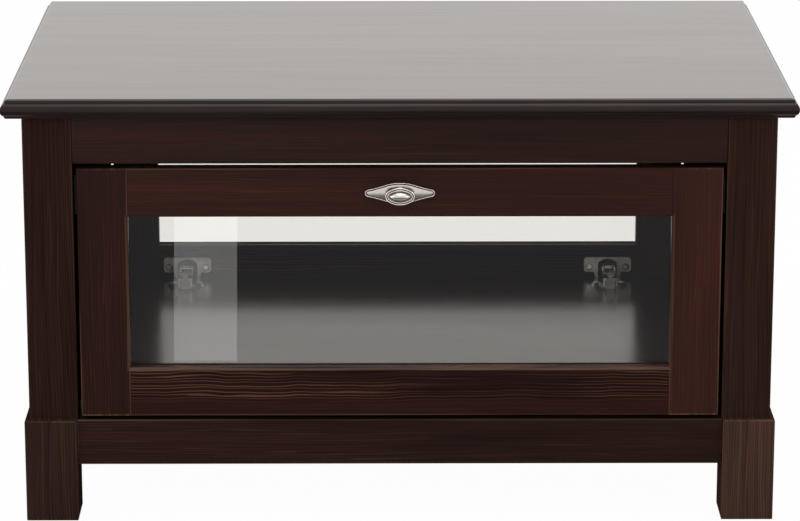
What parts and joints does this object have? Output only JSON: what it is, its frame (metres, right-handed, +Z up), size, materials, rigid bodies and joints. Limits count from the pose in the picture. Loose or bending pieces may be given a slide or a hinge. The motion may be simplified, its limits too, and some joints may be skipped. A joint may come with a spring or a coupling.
{
  "type": "coffee table",
  "caption": "Low rectangular table with a moulded top, square legs on thicker feet, and a glazed cabinet whose front and back flaps drop down on concealed hinges.",
  "frame": {"origin": "on the floor, under the middle of the top", "axes": "+X to the right as seen from the front, +Y to the back, +Z up; the front flap faces -Y"},
  "size_m": [0.9, 0.622, 0.5],
  "materials": {
    "dark_wood": "dark stained, satin",
    "red_wood": "red-brown stained, satin",
    "inside_wood": "dark stained, matt",
    "dowel_wood": "plain beech",
    "pane": "clear, polished",
    "aged_nickel": "aged nickel",
    "steel": "nickel plated",
    "catch_case": "moulded",
    "magnet": "dull grey"
  },
  "bodies": {
    "frame": {"table_top": "dark_wood", "post_front_left": "dark_wood", "post_front_right": "dark_wood", "post_back_left": "dark_wood", "post_back_right": "dark_wood", "foot_front_left": "dark_wood", "foot_front_right": "dark_wood", "foot_back_left": "dark_wood", "foot_back_right": "dark_wood", "apron_front": "dark_wood", "apron_back": "dark_wood", "apron_left": "dark_wood", "apron_right": "dark_wood", "rail_front": "red_wood", "rail_back": "red_wood", "rail_left": "red_wood", "rail_right": "red_wood", "side_panel_left": "inside_wood", "side_panel_right": "inside_wood", "shelf": "inside_wood", "top_batten_front": "inside_wood", "top_batten_back": "inside_wood", "shelf_batten_front": "inside_wood", "shelf_batten_back": "inside_wood", "frame_dowels": "dowel_wood", "batten_screws": "steel", "catch_cases": "catch_case", "catch_magnets": "magnet", "hinge_plates": "steel", "hinge_arms": "steel", "arm_screws": "steel", "fitting_screws": "steel"},
    "front_flap": {"front_stile_left": "red_wood", "front_stile_right": "red_wood", "front_cross_rail_top": "red_wood", "front_cross_rail_low": "red_wood", "front_glass": "pane", "front_beads": "red_wood", "front_backplate": "aged_nickel", "front_knob": "aged_nickel", "front_knob_screw": "steel", "front_cups": "steel", "front_flap_screws": "steel", "front_strikes": "steel"},
    "front_short_links": {"front_short_links": "steel"},
    "front_long_links": {"front_long_links": "steel"},
    "back_flap": {"back_stile_left": "red_wood", "back_stile_right": "red_wood", "back_cross_rail_top": "red_wood", "back_cross_rail_low": "red_wood", "back_glass": "pane", "back_beads": "red_wood", "back_backplate": "aged_nickel", "back_knob": "aged_nickel", "back_knob_screw": "steel", "back_cups": "steel", "back_flap_screws": "steel", "back_strikes": "steel"},
    "back_short_links": {"back_short_links": "steel"},
    "back_long_links": {"back_long_links": "steel"}
  },
  "joints": [
    {"name": "front_short_link_swing", "type": "hinge", "parent": "frame", "child": "front_short_links", "pos_m": [0, -0.2663, 0.15505], "axis": [1, 0, 0], "range_deg": [-18.5, 0]},
    {"name": "front_flap_turn", "type": "hinge", "parent": "front_short_links", "child": "front_flap", "pos_m": [0, -0.27491, 0.1364], "axis": [1, 0, 0], "range_deg": [0, 108.4]},
    {"name": "front_long_link_swing", "type": "hinge", "parent": "frame", "child": "front_long_links", "pos_m": [0, -0.25, 0.1564], "axis": [1, 0, 0], "range_deg": [-22.1, 0]},
    {"name": "back_short_link_swing", "type": "hinge", "parent": "frame", "child": "back_short_links", "pos_m": [0, 0.2663, 0.15505], "axis": [-1, 0, 0], "range_deg": [-18.5, 0]},
    {"name": "back_flap_turn", "type": "hinge", "parent": "back_short_links", "child": "back_flap", "pos_m": [0, 0.27491, 0.1364], "axis": [-1, 0, 0], "range_deg": [0, 108.4]},
    {"name": "back_long_link_swing", "type": "hinge", "parent": "frame", "child": "back_long_links", "pos_m": [0, 0.25, 0.1564], "axis": [-1, 0, 0], "range_deg": [-22.1, 0]}
  ],
  "couplings": [
    {"joint": "front_short_link_swing", "follows": "front_flap_turn", "ratio": -0.16974},
    {"joint": "front_long_link_swing", "follows": "front_flap_turn", "ratio": -0.20295},
    {"joint": "back_short_link_swing", "follows": "back_flap_turn", "ratio": -0.16974},
    {"joint": "back_long_link_swing", "follows": "back_flap_turn", "ratio": -0.20295}
  ]
}
